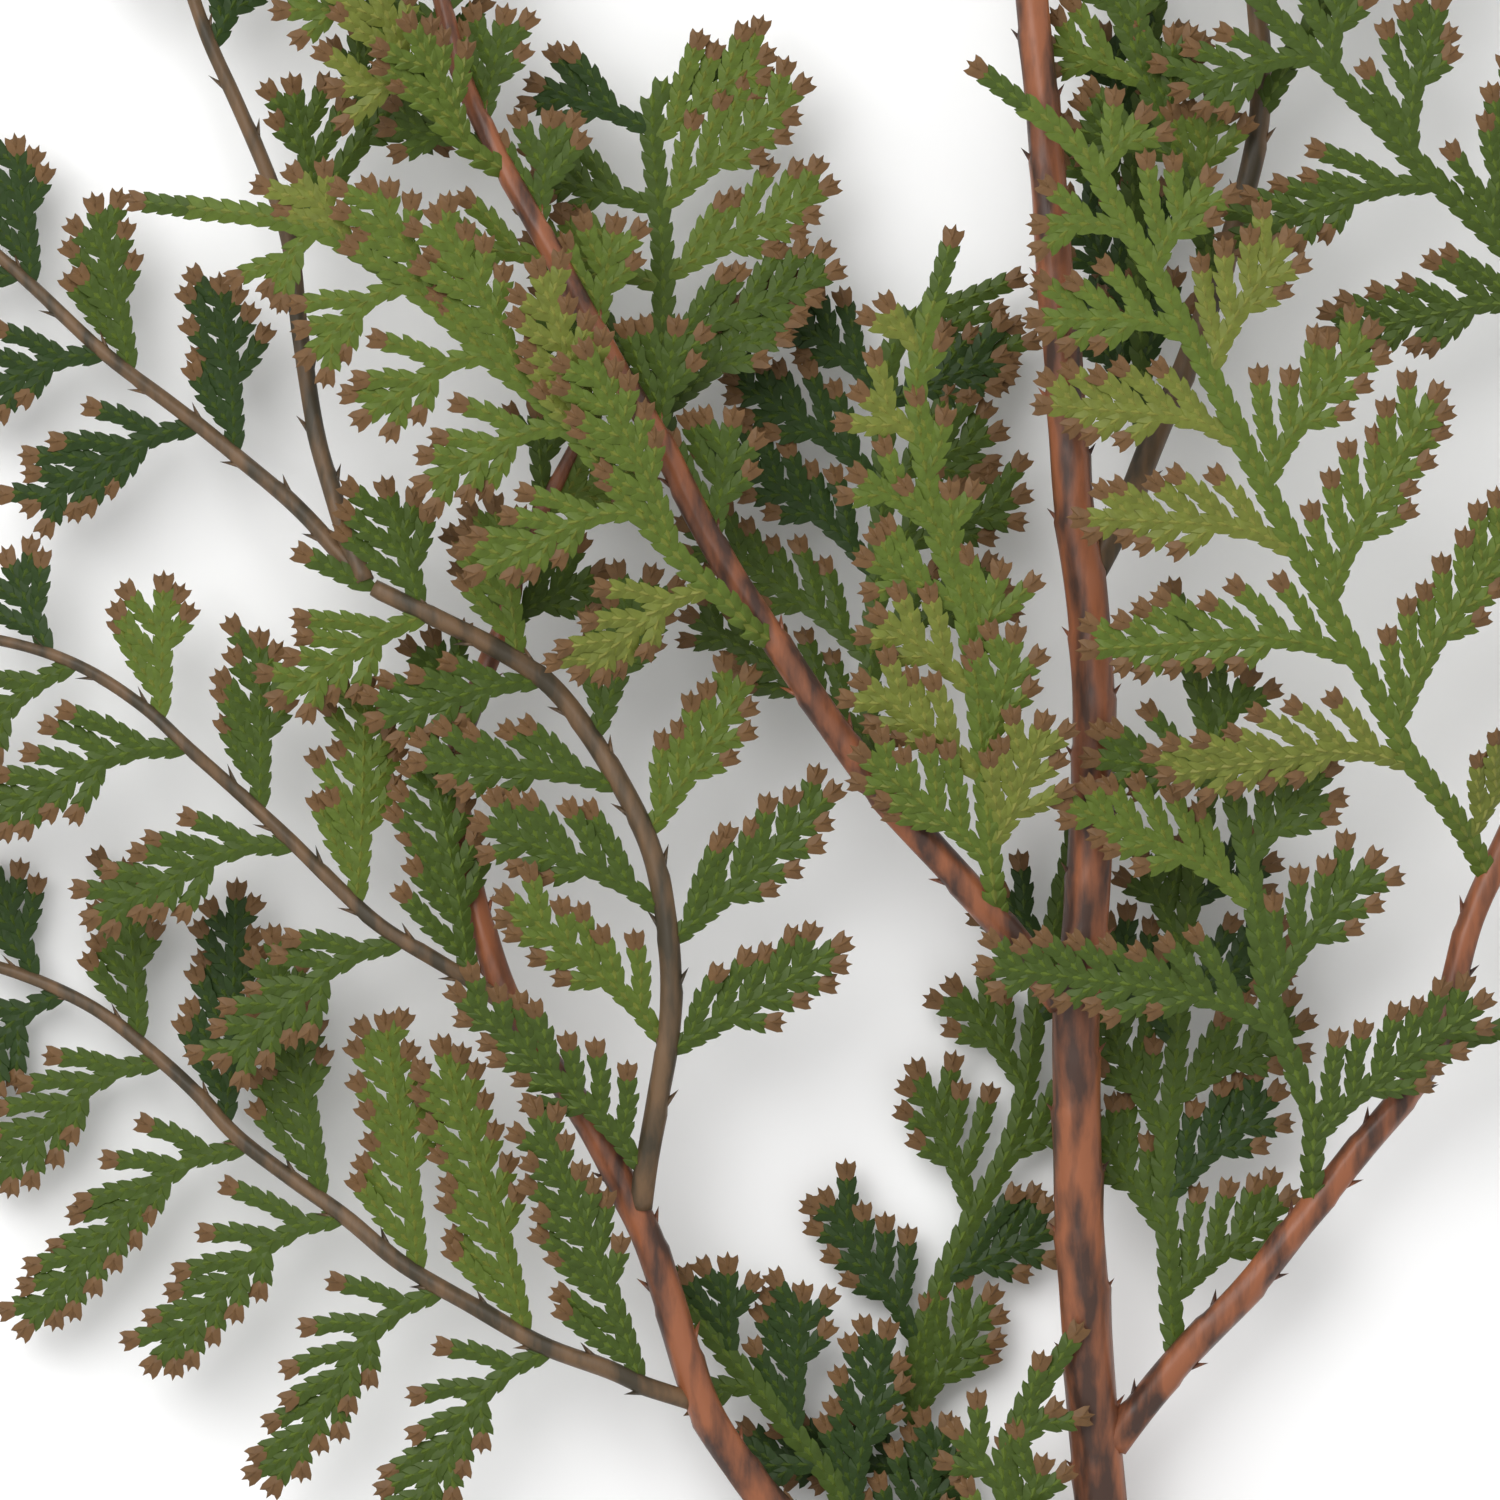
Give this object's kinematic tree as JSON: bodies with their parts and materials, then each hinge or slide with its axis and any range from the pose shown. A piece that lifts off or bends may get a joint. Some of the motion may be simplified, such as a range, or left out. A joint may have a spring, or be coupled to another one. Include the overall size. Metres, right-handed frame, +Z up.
{
  "type": "cut arborvitae branch",
  "caption": "A cut branch of emerald green arborvitae lying flat: a red-brown stem, side boughs and flat sprays of green scale leaves with bronze tips",
  "frame": {"origin": "the middle of the branch's box seen from above, at the surface it lies on", "axes": "+Y runs from the stem's cut foot towards its tip, +X is to the right seen from above, +Z is up"},
  "size_m": [0.208, 0.2904, 0.0335],
  "materials": {
    "bark": "glossy papery red-brown bark",
    "scale_leaves": "satin green scale leaves with bronze tips"
  },
  "bodies": {
    "root": {"main_stem": "bark", "upper_left_bough": "bark", "upper_left_bough_left_mass": "scale_leaves", "upper_left_bough_right_mass": "scale_leaves", "lower_left_bough": "bark", "lower_left_bough_left_mass": "scale_leaves", "lower_left_bough_right_mass": "scale_leaves", "middle_left_bough": "bark", "middle_left_bough_left_mass": "scale_leaves", "middle_left_bough_right_mass": "scale_leaves", "middle_left_leader": "bark", "middle_left_leader_left_mass": "scale_leaves", "middle_left_leader_right_mass": "scale_leaves", "middle_left_fork": "bark", "middle_left_fork_left_mass": "scale_leaves", "middle_left_fork_right_mass": "scale_leaves", "outer_left_upper_bough": "bark", "outer_left_upper_bough_left_mass": "scale_leaves", "outer_left_upper_bough_right_mass": "scale_leaves", "outer_left_lower_bough": "bark", "outer_left_lower_bough_left_mass": "scale_leaves", "outer_left_lower_bough_right_mass": "scale_leaves", "upper_right_bough": "bark", "upper_right_bough_left_mass": "scale_leaves", "upper_right_bough_right_mass": "scale_leaves", "lower_right_bough": "bark", "lower_right_bough_left_mass": "scale_leaves", "lower_right_bough_right_mass": "scale_leaves", "crown_left_bough": "bark", "crown_left_bough_left_mass": "scale_leaves", "crown_left_bough_right_mass": "scale_leaves", "crown_right_bough": "bark", "crown_right_bough_left_mass": "scale_leaves", "crown_right_bough_right_mass": "scale_leaves", "long_front_frond": "scale_leaves", "top_left_frond": "scale_leaves", "back_left_frond": "scale_leaves", "back_upper_frond": "scale_leaves", "front_left_frond": "scale_leaves", "front_right_frond": "scale_leaves", "middle_right_frond": "scale_leaves", "inner_right_frond": "scale_leaves", "corner_frond": "scale_leaves", "upper_right_fork": "scale_leaves", "upper_right_side_frond": "scale_leaves", "upper_right_back_frond": "scale_leaves", "outer_right_frond": "scale_leaves", "inner_back_frond": "scale_leaves", "inner_left_frond": "scale_leaves", "inner_front_frond": "scale_leaves", "lower_left_frond": "scale_leaves", "lower_right_frond": "scale_leaves", "leader_side_frond": "scale_leaves"}
  },
  "joints": []
}
